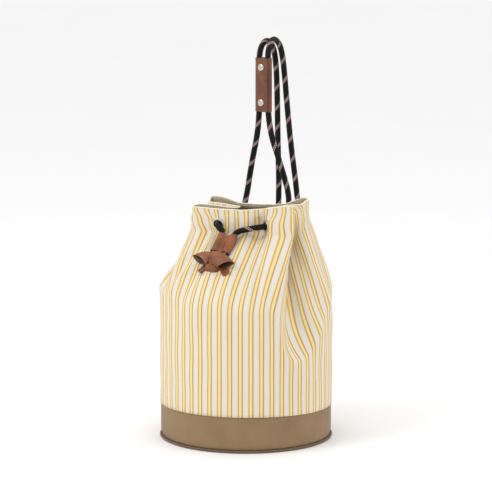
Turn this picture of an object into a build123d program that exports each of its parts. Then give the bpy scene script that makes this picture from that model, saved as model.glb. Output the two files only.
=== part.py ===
from build123d import *
from math import acos, cos, degrees, hypot, pi, radians, sin, tan
import os

# Bucket bag with a round base, a mouth drawn in by two ropes, and a rope shoulder strap.
# Millimetres. The origin is the centre of the base on the floor, +Z is up, -Y is the front
# panel with the cord lock, and the strap hangs behind the bag at +Y.

# ---- driving dimensions -----------------------------------------------------------------

# body
base_radius = 118.4          # outside of the band
band_height = 44.4           # from the piping up to the seam
shoulder_height = 195.0      # where the round body starts to lean in to the mouth
collar_height = 286.0        # where the leaning cloth turns upright
rim_height = 326.0           # top edge of the mouth

# cloth and board
canvas_thickness = 1.2
canvas_overhang = 1.0        # the striped canvas stands proud of the band at the seam
lining_thickness = 0.6
band_thickness = 1.4
panel_thickness = 1.2
board_thickness = 2.5
piping_radius = 1.7
piping_lift = 0.2            # the piping clears the floor
board_clearance = 0.5        # round the stiffener

# gathered mouth
mouth_half_width = 74.0
front_y = -17.0              # front panel of the collar
rear_y = 47.0                # rear panel of the collar
pleat_y = 8.0                # the side pleats point inwards along this line
pleat_depth = 28.0           # from the mouth's side to the pleat's inner fold

# eyelets
eyelet_flange_radius = 8.5
eyelet_bore_radius = 5.6
eyelet_wall = 0.6
eyelet_flange_thickness = 1.4
eyelet_lip_radius = 7.0
eyelet_lip_thickness = 0.8
washer_thickness = 0.8
eyelet_height = 297.0
front_eyelet_x = 35.0
front_fold_depth = 3.0       # the right front eyelet sits in a fold that faces the lock
front_fold_angle = 45.0
rear_eyelet_x = 33.0
base_eyelet_x = 28.0
base_eyelet_height = 35.0
cloth_clearance = 0.15       # between a flange and the flat cloth under it
round_clearance = 0.4        # between a flange and the round band under it
fold_clearance = 0.7         # between a flange and the bent cloth under it
lining_clearance = 0.15      # between the lining and the band
barrel_clearance = 0.1

# rope
rope_radius = 4.2
knot_radius = 10.0

# cord lock and leather bow
lock_x = -16.0
lock_down = 27.8             # from the collar's bend down the slope to the lock's middle
lock_standoff = 7.4          # from the slope out to the rope's centre line
lock_turn = 5.6              # degrees, the lower end leans to the left
lock_length = 31.4
lock_rope_x = 8.4            # half the distance between the two ropes in the lock
lock_wall = 1.6
lock_rope_clearance = 0.3
bow_gap = 3.0                # from the lock down to the tie
tie_width = 28.0
tie_length = 10.0
tie_depth = 13.5
tie_bore_depth = 6.0

# strap wrap
wrap_x = 1.0
wrap_y = 66.0
wrap_bottom = 445.0
wrap_height = 75.0
wrap_turn = -19.0            # degrees about Z
wrap_wall = 1.2
wrap_rope_x = 7.6
wrap_rope_clearance = 0.3
rivet_cap_radius = 5.2
rivet_cap_height = 2.2
rivet_post_radius = 1.6
rivet_post_clearance = 0.1
rivet_inset = 13.0           # from the wrap's ends to the rivets

# ---- sizes that follow ------------------------------------------------------------------

piping_centre_radius = base_radius - 0.2
piping_centre_height = piping_lift + piping_radius
band_bottom = piping_centre_height + piping_radius
band_top = band_bottom + band_height
band_inner_radius = base_radius - band_thickness
canvas_radius = base_radius + canvas_overhang
panel_radius = piping_centre_radius - piping_radius
board_radius = band_inner_radius - lining_clearance - lining_thickness - board_clearance
board_top = panel_thickness + board_thickness
lining_floor_top = board_top + lining_thickness

os.makedirs("parts", exist_ok=True)


def save(piece, name):
    """Labels a finished piece and writes it as one STEP file."""
    piece.part.label = name
    export_step(piece.part, f"parts/{name}.step")


# ---- the wall of the bag ----------------------------------------------------------------

fold_reach = eyelet_flange_radius + 1.0
fold_x = fold_reach * cos(radians(front_fold_angle))
fold_y = fold_reach * sin(radians(front_fold_angle))
fold_centre_y = front_y + front_fold_depth
pleat_x = mouth_half_width - pleat_depth

# The mouth seen from above, anticlockwise from the left of the front panel.
collar_front = [
    (-mouth_half_width + 8, front_y),
    (-front_eyelet_x - 11, front_y),
    (-front_eyelet_x + 11, front_y),
    (5, front_y),
    (16, front_y + 3),
    (front_eyelet_x - fold_x, fold_centre_y + fold_y),
    (front_eyelet_x, fold_centre_y),
    (front_eyelet_x + fold_x, fold_centre_y - fold_y),
    (56, front_y - 4),
    (mouth_half_width - 6, front_y - 2.5),
]
collar_right = [
    (mouth_half_width, -12),
    (mouth_half_width - 4, pleat_y - 11),
    (mouth_half_width - 18, pleat_y - 5),
    (pleat_x, pleat_y),
    (mouth_half_width - 18, pleat_y + 5),
    (mouth_half_width - 3, pleat_y + 11),
    (mouth_half_width + 4, rear_y - 18),
    (mouth_half_width - 2, rear_y - 5),
    (rear_eyelet_x + 22, rear_y),
    (rear_eyelet_x + 10, rear_y),
    (rear_eyelet_x - 10, rear_y),
]
collar_left = [(-x, y) for x, y in reversed(collar_right)]
collar = collar_front + collar_right + [(0, rear_y)] + collar_left


def running_length(outline):
    """The distance along a closed outline to each of its points, and once round."""
    total = [0.0]
    for (x0, y0), (x1, y1) in zip(outline, outline[1:] + outline[:1]):
        total.append(total[-1] + hypot(x1 - x0, y1 - y0))
    return total[:-1], total[-1]


def round_outline(radius):
    """A circle with a point for each point of the collar, at the same share of the cloth."""
    along, whole = running_length(collar)
    start = along[collar.index((5, front_y))]
    turns = [(length - start) / whole * 2 * pi - pi / 2 + radians(2) for length in along]
    return [(radius * cos(turn), radius * sin(turn)) for turn in turns]


def inset(outline, depth):
    """The closed outline moved inwards by the depth."""
    moved = []
    for i, (x, y) in enumerate(outline):
        before, after = outline[i - 1], outline[(i + 1) % len(outline)]
        dx, dy = after[0] - before[0], after[1] - before[1]
        step = depth / hypot(dx, dy)
        moved.append((x - dy * step, y + dx * step))
    return moved


def lofted(levels):
    """A solid through closed outlines, each a height and its points."""
    with BuildPart() as body:
        for height, outline in levels:
            with BuildSketch(Plane.XY.offset(height)):
                with BuildLine():
                    Spline(*outline, periodic=True)
                make_face()
        loft(ruled=True)
    return body.part


def cloth_wall(levels, thickness):
    """A wall of cloth through closed outlines, open at its bottom and its top."""
    with BuildPart() as cloth:
        add(lofted(levels))
        add(lofted([(z, inset(points, thickness)) for z, points in levels]), mode=Mode.SUBTRACT)
    return cloth.part


# ---- where the eyelets sit --------------------------------------------------------------

fold_normal = (-sin(radians(front_fold_angle)), -cos(radians(front_fold_angle)), 0)
mouth_places = {
    "front_left": Plane((-front_eyelet_x, front_y, eyelet_height), (1, 0, 0), (0, -1, 0)),
    "front_right": Plane((front_eyelet_x, fold_centre_y, eyelet_height), (0, 0, 1), fold_normal),
    "rear_left": Plane((-rear_eyelet_x, rear_y, eyelet_height), (1, 0, 0), (0, 1, 0)),
    "rear_right": Plane((rear_eyelet_x, rear_y, eyelet_height), (1, 0, 0), (0, 1, 0)),
}
base_eyelet_y = (base_radius**2 - base_eyelet_x**2) ** 0.5
base_places = {}
for name, side in (("base_left", -1), ("base_right", 1)):
    outwards = (side * base_eyelet_x, base_eyelet_y, 0)
    on_band = (side * base_eyelet_x, base_eyelet_y, base_eyelet_height)
    base_places[name] = Plane(on_band, (0, 0, 1), outwards)

eyelet_barrel_radius = eyelet_bore_radius + eyelet_wall
eyelet_hole_radius = eyelet_barrel_radius + barrel_clearance
hole_reach = 5.0

# ---- base -------------------------------------------------------------------------------

with BuildPart() as base_panel:
    with BuildSketch():
        Circle(panel_radius)
    extrude(amount=panel_thickness)
save(base_panel, "base_panel")

with BuildPart() as base_board:
    with BuildSketch(Plane.XY.offset(panel_thickness)):
        Circle(board_radius)
    extrude(amount=board_thickness)
save(base_board, "base_board")

with BuildPart() as bottom_piping:
    with BuildSketch(Plane.XZ):
        with Locations((piping_centre_radius, piping_centre_height)):
            Circle(piping_radius)
    revolve(axis=Axis.Z)
save(bottom_piping, "bottom_piping")

with BuildPart() as base_band:
    with BuildSketch(Plane.XY.offset(band_bottom)):
        Circle(base_radius)
        Circle(band_inner_radius, mode=Mode.SUBTRACT)
    extrude(amount=band_height)
    with BuildSketch(*base_places.values()):
        Circle(eyelet_hole_radius)
    extrude(amount=hole_reach, both=True, mode=Mode.SUBTRACT)
save(base_band, "base_band")

# ---- canvas and lining ------------------------------------------------------------------

canvas_round = round_outline(canvas_radius)
canvas_levels = [
    (band_top, canvas_round),
    (shoulder_height, canvas_round),
    (collar_height, collar),
    (rim_height, collar),
]
with BuildPart() as outer_canvas:
    add(cloth_wall(canvas_levels, canvas_thickness))
    with BuildSketch(*mouth_places.values()):
        Circle(eyelet_hole_radius)
    extrude(amount=hole_reach, both=True, mode=Mode.SUBTRACT)
save(outer_canvas, "outer_canvas")

lining_round = round_outline(band_inner_radius - lining_clearance)
lining_collar = inset(collar, canvas_thickness)
lining_levels = [
    (lining_floor_top, lining_round),
    (shoulder_height, lining_round),
    (collar_height, lining_collar),
    (rim_height, lining_collar),
]
with BuildPart() as lining:
    add(cloth_wall(lining_levels, lining_thickness))
    with BuildSketch(*mouth_places.values(), *base_places.values()):
        Circle(eyelet_hole_radius)
    extrude(amount=hole_reach, both=True, mode=Mode.SUBTRACT)
save(lining, "lining")

with BuildPart() as lining_floor:
    with BuildSketch(Plane.XY.offset(board_top)):
        Circle(board_radius)
    extrude(amount=lining_thickness)
save(lining_floor, "lining_floor")

# ---- eyelets and their washers ----------------------------------------------------------


def ring(place, inner, outer, height):
    """A flat ring that stands on the plane."""
    with BuildPart() as band:
        with BuildSketch(place):
            Circle(outer)
            Circle(inner, mode=Mode.SUBTRACT)
        extrude(amount=height)
    return band.part


def make_eyelet(name, place, cloth, clearance):
    """A rolled eyelet through the cloth, with the washer that it is set against inside."""
    grip = cloth + 2 * clearance + washer_thickness
    seat = place.offset(clearance)
    outwards = Axis(place.origin, place.z_dir)
    with BuildPart() as eyelet:
        add(ring(seat, eyelet_bore_radius, eyelet_flange_radius, eyelet_flange_thickness))
        face = eyelet.faces().sort_by(outwards)[-1]
        fillet(face.edges(), radius=eyelet_flange_thickness * 0.55)
        add(ring(seat.offset(-grip), eyelet_bore_radius, eyelet_barrel_radius, grip))
        lip = seat.offset(-grip - eyelet_lip_thickness)
        add(ring(lip, eyelet_bore_radius, eyelet_lip_radius, eyelet_lip_thickness))
    save(eyelet, f"eyelet_{name}")

    with BuildPart() as washer:
        hole = eyelet_barrel_radius + barrel_clearance / 2
        add(ring(seat.offset(-grip), hole, eyelet_flange_radius, washer_thickness))
    save(washer, f"washer_{name}")


mouth_cloth = canvas_thickness + lining_thickness
for name, place in mouth_places.items():
    clearance = fold_clearance if name == "front_right" else cloth_clearance
    make_eyelet(name, place, mouth_cloth, clearance)
for name, place in base_places.items():
    make_eyelet(name, place, band_thickness + lining_clearance + lining_thickness, round_clearance)

# ---- rope -------------------------------------------------------------------------------


def corner_radii(points):
    """The radius for each corner of a route: as large as its two runs allow."""
    corners = [Vector(*point) for point in points]
    radii = []
    for before, here, after in zip(corners, corners[1:], corners[2:]):
        run_in, run_out = here - before, after - here
        turn = run_in.get_angle(run_out)
        shorter = min(run_in.length, run_out.length)
        radii.append(0.45 * shorter / tan(radians(turn / 2)))
    return radii


def make_rope(name, points):
    """A rope along a route of straight runs joined by arcs."""
    radii = corner_radii(points)
    with BuildPart() as rope:
        with BuildLine() as path:
            FilletPolyline(*points, radius=radii)
        with BuildSketch(Plane(points[0], z_dir=Vector(*points[1]) - Vector(*points[0]))):
            Circle(rope_radius)
        sweep()
    length = path.wire().length
    expected = length * pi * rope_radius**2
    print(f"{name}: length {length:.1f}, tightest radius {min(radii):.1f}")
    print(f"{name}: radii {[round(radius, 1) for radius in radii]}")
    print(f"{name}: volume over section times length {rope.part.volume / expected:.4f}")
    save(rope, name)


# From behind each front eyelet to the tie below the cord lock.
front_left_route = [
    (-35, -5, 297),
    (-35, -25, 297),
    (-22.24, -25.94, 287.95),
    (-26.75, -60.31, 257.41),
]
front_right_route = [
    (38.1, -8.15, 297),
    (29.2, -24.8, 297),
    (11, -28.3, 293.4),
    (-5.33, -25.68, 288.19),
    (-10.03, -61.53, 256.32),
]
# From there through the rear eyelets, up through the wrap, over, and down to the base.
strap_left_route = [
    (-35, -5, 297),
    (-35, 14, 297),
    (-33, 38, 297),
    (-33, 67, 297),
    (-32.5, 87, 320),
    (-20.5, 76, 372),
    (-6.2, 68.47, 426),
    (-6.2, 68.47, 531),
    (-5.5, 92, 544),
    (-4.2, 118, 533),
    (-4, 130, 503),
    (-5.2, 137.5, 449),
    (-8.2, 148, 386),
    (-11, 161, 328),
    (-16, 168, 262),
    (-21, 168, 192),
    (-26, 164, 122),
    (-30, 157, 72),
    (-34.1, 140.3, 35),
    (-25.9, 106.3, 35),
]
strap_right_route = [
    (38.1, -8.15, 297),
    (41.9, -1.04, 297),
    (33.3, 27, 297),
    (33, 67, 297),
    (33.5, 87, 320),
    (22.5, 75, 372),
    (8.2, 63.53, 426),
    (8.2, 63.53, 533),
    (6, 88, 546.5),
    (7, 115, 536),
    (7.8, 128, 506),
    (9.3, 136.5, 451),
    (12, 147, 387),
    (15.5, 160, 328),
    (19, 167, 262),
    (21, 167, 192),
    (26, 163, 122),
    (30, 156.5, 72),
    (34.1, 140.3, 35),
    (25.9, 106.3, 35),
]
make_rope("cord_front_left", front_left_route)
make_rope("cord_front_right", front_right_route)
make_rope("rope_left", strap_left_route)
make_rope("rope_right", strap_right_route)

# The stopper knots inside the base: a ball with a flat where the rope runs into it.
flat_distance = (knot_radius**2 - rope_radius**2) ** 0.5
for side, route in (("left", strap_left_route), ("right", strap_right_route)):
    end, before = Vector(*route[-1]), Vector(*route[-2])
    heading = (end - before).normalized()
    with BuildPart() as stopper_knot:
        with Locations(end + heading * flat_distance):
            Sphere(knot_radius)
        split(bisect_by=Plane(end, z_dir=heading), keep=Keep.TOP)
    save(stopper_knot, f"stopper_knot_{side}")

# ---- cord lock and leather bow ----------------------------------------------------------

slope = Vector(0, front_y + canvas_radius, collar_height - shoulder_height).normalized()
across = Vector(1, 0, 0) * cos(radians(lock_turn)) - slope * sin(radians(lock_turn))
slope_normal = Vector(1, 0, 0).cross(slope)
lock_middle = Vector(lock_x, front_y, collar_height) - slope * lock_down + slope_normal * lock_standoff
toggle = Plane(lock_middle, x_dir=across, z_dir=slope_normal)
lock_tube_radius = rope_radius + lock_rope_clearance + lock_wall


def on_toggle(x, y, z, along):
    """A plane at a point of the toggle, looking along one of the toggle's directions."""
    origin = toggle.from_local_coords(Vector(x, y, z))
    ahead = toggle.from_local_coords(Vector(x, y, z) + Vector(*along)) - origin
    return Plane(origin, x_dir=ahead.cross(toggle.z_dir), z_dir=ahead)


up_the_cords = (0, 1, 0)
lock_foot = on_toggle(0, -lock_length / 2, 0, up_the_cords)
with BuildPart() as cord_lock:
    with BuildSketch(lock_foot):
        with Locations((-lock_rope_x, 0), (lock_rope_x, 0)):
            Circle(lock_tube_radius)
        Rectangle(2 * lock_rope_x, 2 * lock_wall)
        with Locations((-lock_rope_x, 0), (lock_rope_x, 0)):
            Circle(rope_radius + lock_rope_clearance, mode=Mode.SUBTRACT)
    extrude(amount=lock_length)
save(cord_lock, "cord_lock")

tie_top = -lock_length / 2 - bow_gap
tie_foot = on_toggle(0, tie_top - tie_length, tie_depth / 2 - 6, up_the_cords)
with BuildPart() as bow_tie:
    with BuildSketch(tie_foot):
        RectangleRounded(tie_width, tie_depth, 4)
    extrude(amount=tie_length)
    with BuildSketch(on_toggle(0, tie_top, 0, (0, -1, 0))):
        with Locations((-lock_rope_x, 0), (lock_rope_x, 0)):
            Circle(rope_radius + lock_rope_clearance)
    extrude(amount=tie_bore_depth, mode=Mode.SUBTRACT)
    for start, end in (((-8, -28), (-15.5, -48)), ((8, -28), (21, -48))):
        with BuildSketch(toggle.offset(-4.5)):
            with BuildLine():
                Polyline(
                    (start[0] - 4, start[1]),
                    (end[0] - 4.5, end[1] + 1),
                    (end[0] + 3.5, end[1] - 1),
                    (start[0] + 4, start[1]),
                    close=True,
                )
            make_face()
        extrude(amount=2.4)
save(bow_tie, "bow_tie")

petal_front = tie_depth - 6 + 5.6
with BuildPart() as leather_bow:
    with BuildSketch(on_toggle(-4, -24.5, petal_front, (1, -0.16, 0))):
        Ellipse(7.0, 4.8)
    with BuildSketch(on_toggle(29, -29.6, petal_front - 2, (1, -0.16, 0))):
        Ellipse(9.5, 5.2)
    loft()
    mirror(about=Plane(toggle.origin, z_dir=toggle.x_dir))
    with BuildSketch(on_toggle(-7, -39, 7.5, (1, 0, 0))):
        Circle(8.5)
    extrude(amount=16)
save(leather_bow, "leather_bow")

# ---- strap wrap and its rivets ----------------------------------------------------------

wrap_across = (cos(radians(wrap_turn)), sin(radians(wrap_turn)), 0)
wrap_out = Vector(sin(radians(wrap_turn)), -cos(radians(wrap_turn)), 0)
wrap_foot = Plane((wrap_x, wrap_y, wrap_bottom), x_dir=wrap_across, z_dir=(0, 0, 1))
wrap_bore_radius = rope_radius + wrap_rope_clearance
wrap_depth = 2 * (wrap_bore_radius + wrap_wall)
wrap_width = 2 * wrap_rope_x + wrap_depth
rivet_places = {}
for name, height in (("lower", rivet_inset), ("upper", wrap_height - rivet_inset)):
    middle = Vector(wrap_x, wrap_y, wrap_bottom + height)
    rivet_places[name] = Plane(middle + wrap_out * wrap_depth / 2, (0, 0, 1), wrap_out)

with BuildPart() as strap_wrap:
    with BuildSketch(wrap_foot):
        RectangleRounded(wrap_width, wrap_depth, wrap_depth / 2 - 0.4)
        with Locations((-wrap_rope_x, 0), (wrap_rope_x, 0)):
            Circle(wrap_bore_radius, mode=Mode.SUBTRACT)
    extrude(amount=wrap_height)
    with BuildSketch(*rivet_places.values()):
        Circle(rivet_post_radius + rivet_post_clearance)
    extrude(amount=-wrap_depth, mode=Mode.SUBTRACT)
save(strap_wrap, "strap_wrap")

for name, place in rivet_places.items():
    with BuildPart() as rivet:
        with BuildSketch(place):
            Circle(rivet_cap_radius)
        extrude(amount=rivet_cap_height)
        top = rivet.faces().sort_by(Axis(place.origin, place.z_dir))[-1]
        fillet(top.edges(), radius=rivet_cap_height * 0.9)
        with BuildSketch(place):
            Circle(rivet_post_radius)
        extrude(amount=-wrap_depth)
    save(rivet, f"rivet_{name}")

    with BuildPart() as rivet_back:
        with BuildSketch(place.offset(-wrap_depth)):
            Circle(rivet_cap_radius)
        extrude(amount=-rivet_cap_height / 2)
        back = rivet_back.faces().sort_by(Axis(place.origin, place.z_dir))[0]
        fillet(back.edges(), radius=rivet_cap_height * 0.4)
    save(rivet_back, f"rivet_back_{name}")
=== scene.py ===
# %% [markdown]
# # A rope-strung bucket bag
# The bag is striped canvas on a round khaki base. Two black ropes gather its mouth, pass through
# a leather cord lock with a tied bow, and make the shoulder strap. The design model holds the
# hard parts, sizes and joints. Here every cloth, rope and leather piece gets its real surface.

# %% Load the frame
import math

import bmesh
import bpy
import numpy as np
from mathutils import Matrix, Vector


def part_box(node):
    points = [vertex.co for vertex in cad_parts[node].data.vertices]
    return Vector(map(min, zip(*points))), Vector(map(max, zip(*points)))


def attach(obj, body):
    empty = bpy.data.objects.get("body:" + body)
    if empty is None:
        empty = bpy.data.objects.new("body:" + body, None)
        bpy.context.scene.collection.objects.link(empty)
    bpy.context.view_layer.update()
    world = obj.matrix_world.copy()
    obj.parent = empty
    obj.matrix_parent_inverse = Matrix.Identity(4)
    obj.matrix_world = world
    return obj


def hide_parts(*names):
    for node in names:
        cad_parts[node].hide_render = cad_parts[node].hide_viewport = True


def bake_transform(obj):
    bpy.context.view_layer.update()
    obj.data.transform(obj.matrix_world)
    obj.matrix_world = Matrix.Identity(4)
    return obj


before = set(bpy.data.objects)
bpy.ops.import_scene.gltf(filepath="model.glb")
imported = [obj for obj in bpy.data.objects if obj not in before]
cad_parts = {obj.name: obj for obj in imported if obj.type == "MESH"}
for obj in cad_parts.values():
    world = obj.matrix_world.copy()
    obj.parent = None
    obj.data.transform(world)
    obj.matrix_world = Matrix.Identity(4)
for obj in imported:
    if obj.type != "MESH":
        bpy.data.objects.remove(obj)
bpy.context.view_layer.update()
MM = 0.001

# %% [markdown]
# ## Camera and light
# A product picture of a bag is taken from far away with a long lens, so that the round base and
# the mouth keep nearly the same scale. The camera stands a little to the right of the front and
# looks down gently. The light is a big soft white room, one large lamp from the upper left that
# shapes the folds, and a weaker one from the right.

# %% Camera
CAMERA_TURN = math.radians(21.0)
CAMERA_DISTANCE = 3.9
CAMERA_HEIGHT = 0.905
PICTURE_WIDTH = 0.679
AIM = Vector((0.0, 0.0, 0.2655))


def aim(obj, place, target):
    """Puts a lamp or camera at a place, looking at a target."""
    obj.location = place
    obj.rotation_euler = (target - place).to_track_quat("-Z", "Y").to_euler()


away = Vector((math.sin(CAMERA_TURN), -math.cos(CAMERA_TURN), 0.0))
place = away * CAMERA_DISTANCE + Vector((0.0, 0.0, CAMERA_HEIGHT))
lens = bpy.data.cameras.new("camera")
lens.sensor_width = 36.0
lens.lens = 36.0 * (place - AIM).length / PICTURE_WIDTH
camera = bpy.data.objects.new("camera", lens)
bpy.context.scene.collection.objects.link(camera)
aim(camera, place, AIM)
bpy.context.scene.camera = camera
print("lens", round(lens.lens), "mm")

# %% Lamps, room and floor


def lamp(name, place, target, size, power):
    """A square soft box."""
    light = bpy.data.lights.new(name, "AREA")
    light.shape = "SQUARE"
    light.size = size
    light.energy = power
    obj = bpy.data.objects.new(name, light)
    bpy.context.scene.collection.objects.link(obj)
    aim(obj, Vector(place), Vector(target))


MIDDLE = (0.0, 0.0, 0.22)
lamp("key", (-1.1, -1.3, 1.7), MIDDLE, 1.0, 15.0)
lamp("side", (1.8, 0.1, 0.9), MIDDLE, 1.0, 5.0)
lamp("top", (0.0, 0.3, 2.2), MIDDLE, 1.4, 3.0)

room = bpy.data.worlds.new("room")
room.use_nodes = True
room.node_tree.nodes["Background"].inputs["Color"].default_value = (1.0, 1.0, 1.0, 1.0)
room.node_tree.nodes["Background"].inputs["Strength"].default_value = 0.97
bpy.context.scene.world = room
bpy.context.scene.view_settings.view_transform = "Standard"

FLOOR_HALF = 14.0
floor_mesh = bpy.data.meshes.new("floor")
corners = [(-1, -1), (1, -1), (1, 1), (-1, 1)]
floor_mesh.from_pydata([(x * FLOOR_HALF, y * FLOOR_HALF, -0.0002) for x, y in corners], [], [(0, 1, 2, 3)])
floor = bpy.data.objects.new("floor", floor_mesh)
bpy.context.scene.collection.objects.link(floor)

# %% [markdown]
# ## A small language for materials
# Shader nodes are easier to read as sums than as boxes and wires. `Wire` wraps one socket, so that
# `1 - mask` or `bump * 0.5` adds the Math node by itself, and `node` adds any other node: first its
# settings, then a number or a wire for each input.

# %% Wires


class Wire:
    """A value inside a material."""

    def __init__(self, tree, socket=None):
        self.tree = tree
        self.socket = socket

    def node(self, kind, settings=(), inputs=(), output=0):
        made = self.tree.nodes.new(kind)
        for key, value in dict(settings).items():
            setattr(made, key, value)
        for key, value in dict(inputs).items():
            if isinstance(value, Wire):
                self.tree.links.new(value.socket, made.inputs[key])
            else:
                made.inputs[key].default_value = value
        return Wire(self.tree, made.outputs[output])

    def math(self, operation, a, b=0.0, c=0.0):
        return self.node("ShaderNodeMath", {"operation": operation}, {0: a, 1: b, 2: c})

    def __add__(self, other):
        return self.math("ADD", self, other)

    def __sub__(self, other):
        return self.math("SUBTRACT", self, other)

    def __mul__(self, other):
        return self.math("MULTIPLY", self, other)

    def __truediv__(self, other):
        return self.math("DIVIDE", self, other)

    def __rsub__(self, other):
        return self.math("SUBTRACT", other, self)

    __radd__ = __add__
    __rmul__ = __mul__

    def sin(self):
        return self.math("SINE", self)

    def abs(self):
        return self.math("ABSOLUTE", self)

    def fract(self):
        return self.math("FRACT", self)

    def smooth(self, low, high):
        """0 below low, 1 above high, and an S between."""
        return self.node(
            "ShaderNodeMapRange",
            {"interpolation_type": "SMOOTHSTEP"},
            {"Value": self, "From Min": low, "From Max": high},
        )

    def mix(self, factor, first, second):
        """One colour where the factor is 0, the other where it is 1."""
        return self.node(
            "ShaderNodeMix", {"data_type": "RGBA"}, {0: factor, 6: first, 7: second}, output=2
        )

    def noise(self, where, scale, detail=3.0, roughness=0.5):
        inputs = {"Vector": where, "Scale": scale, "Detail": detail, "Roughness": roughness}
        return self.node("ShaderNodeTexNoise", {}, inputs)


def linear(red, green, blue):
    """A colour as shaders take it, from the 0 to 255 numbers of a colour chart."""
    def channel(value):
        value /= 255.0
        return value / 12.92 if value <= 0.04045 else ((value + 0.055) / 1.055) ** 2.4
    return (channel(red), channel(green), channel(blue), 1.0)


def new_material(name, **constants):
    """A material with its Principled node, whose constant sockets are set here."""
    material = bpy.data.materials.new(name)
    material.use_nodes = True
    tree = material.node_tree
    surface = tree.nodes["Principled BSDF"]
    for key, value in constants.items():
        surface.inputs[key.replace("_", " ")].default_value = value
    return material, Wire(tree), surface


def finish_material(start, surface, colour, roughness, height=None, bump=0.3, depth=0.001):
    """Feeds what varies over the surface into the Principled node."""
    start.tree.links.new(colour.socket, surface.inputs["Base Color"])
    if isinstance(roughness, Wire):
        start.tree.links.new(roughness.socket, surface.inputs["Roughness"])
    else:
        surface.inputs["Roughness"].default_value = roughness
    if height is not None:
        inputs = {"Strength": bump, "Distance": depth, "Height": height}
        normal = start.node("ShaderNodeBump", {}, inputs)
        start.tree.links.new(normal.socket, surface.inputs["Normal"])


# %% [markdown]
# ## Striped canvas
# The cloth is woven with pairs of ochre lines on off-white. Its pattern has to follow the cloth
# into every fold, so it reads the piece's UV map, which holds metres of cloth: across the stripes
# in U, and up the bag in V. Sine waves at the thread's pitch make the weave's relief.

# %% Canvas material
STRIPE_PITCH = 14.42 * MM
LINE_OFFSET = 2.55 * MM
LINE_WIDTH = 2.0 * MM
THREAD = 0.9 * MM


def uv_parts(start, uv):
    """The two halves of a UV map."""
    parts = start.node("ShaderNodeSeparateXYZ", {}, {"Vector": uv}).socket.node.outputs
    return Wire(start.tree, parts[0]), Wire(start.tree, parts[1])


def threads(start, uv):
    """The relief of a plain weave, from 0 to 1, and the place across the stripes in metres."""
    across, along = uv_parts(start, uv)
    turn = 2 * math.pi / THREAD
    return (across * turn).sin() * (along * turn).sin() * 0.5 + 0.5, across


def canvas_material():
    material, start, surface = new_material("striped_canvas_cloth", Sheen_Weight=0.08)
    uv = start.node("ShaderNodeTexCoord", {}, {}, output=2)
    weave, across = threads(start, uv)
    wander = start.noise(uv, 9.0, 2.0) - 0.5
    place = across / STRIPE_PITCH + wander * 0.06
    from_pair = ((place.fract() - 0.5).abs()) * STRIPE_PITCH
    from_line = (from_pair - LINE_OFFSET).abs()
    line = 1 - from_line.smooth(LINE_WIDTH * 0.38, LINE_WIDTH * 0.62)
    between = 1 - from_pair.smooth(LINE_OFFSET * 0.6, LINE_OFFSET)
    right_line = (place.fract() - 0.5).smooth(-0.05, 0.05)
    fleck = start.noise(uv, 1400.0, 2.0, 0.7)
    ground = start.mix(fleck.smooth(0.3, 0.7), linear(206, 201, 189), linear(230, 226, 214))
    ground = start.mix(between, ground, linear(234, 214, 154))
    ochre = start.mix(right_line, linear(208, 154, 38), linear(178, 126, 24))
    ochre = start.mix(fleck.smooth(0.35, 0.75), ochre, linear(206, 160, 62))
    colour = start.mix(line * 0.92, ground, ochre)
    cloudy = start.noise(uv, 14.0, 3.0).smooth(0.35, 0.8)
    colour = start.mix(cloudy * 0.08, colour, linear(205, 196, 170))
    slub = start.noise(uv, 420.0, 2.0)
    finish_material(start, surface, colour, 0.82, weave * 0.6 + slub * 0.6, 0.45, 0.0006)
    return material


def plain_canvas(name, light, dark):
    """An undyed or dyed plain canvas, with uneven threads and slight washing marks."""
    material, start, surface = new_material(name, Sheen_Weight=0.1)
    uv = start.node("ShaderNodeTexCoord", {}, {}, output=2)
    weave, _ = threads(start, uv)
    slub = start.noise(uv, 1300.0, 2.0, 0.6)
    marks = start.noise(uv, 18.0, 4.0, 0.6)
    colour = start.mix(slub.smooth(0.3, 0.7), dark, light)
    colour = start.mix(marks.smooth(0.4, 0.75) * 0.7, colour, dark)
    finish_material(start, surface, colour, 0.85, weave * 0.7 + slub * 0.3, 0.35, 0.0004)
    return material


striped = canvas_material()
khaki = plain_canvas("khaki_canvas_cloth", linear(156, 129, 94), linear(122, 97, 67))
greige = plain_canvas("greige_canvas_cloth", linear(186, 176, 152), linear(160, 148, 122))
cream = plain_canvas("mouth_edge_cloth", linear(246, 240, 218), linear(228, 220, 194))
brown_edge = plain_canvas("piping_cloth", linear(120, 96, 72), linear(94, 72, 52))

# %% [markdown]
# ## Rope, leather and metal
# The rope is a black braid with one pale tracer that crosses its front every few centimetres. Its
# UV map holds the turn round the rope in U and metres along it in V. Leather has a fine grain,
# broad colour clouds and darker cut edges. The eyelets and rivets are polished nickel.

# %% Rope, leather and metal materials
TRACER_PITCH = 29.0 * MM
BRAID_PITCH = 6.2 * MM


def rope_material():
    material, start, surface = new_material("black_braid", Specular_IOR_Level=0.2)
    uv = start.node("ShaderNodeTexCoord", {}, {}, output=2)
    turn, along = uv_parts(start, uv)
    helix = (turn - along / TRACER_PITCH).fract()
    tracer = 1 - (((helix - 0.5).abs() - 0.055).abs()).smooth(0.02, 0.045)
    dash = ((along / (BRAID_PITCH * 0.5) + turn * 4.0).fract() - 0.5).abs().smooth(0.1, 0.22)
    tracer = tracer * (1 - dash * 0.65)
    fibre = start.noise(uv, 900.0, 2.0)
    black = start.mix(fibre.smooth(0.35, 0.7), linear(3, 3, 4), linear(12, 12, 15))
    colour = start.mix(tracer, black, linear(214, 178, 178))
    finish_material(start, surface, colour, 0.62, fibre, 0.35, 0.0004)
    return material


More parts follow.
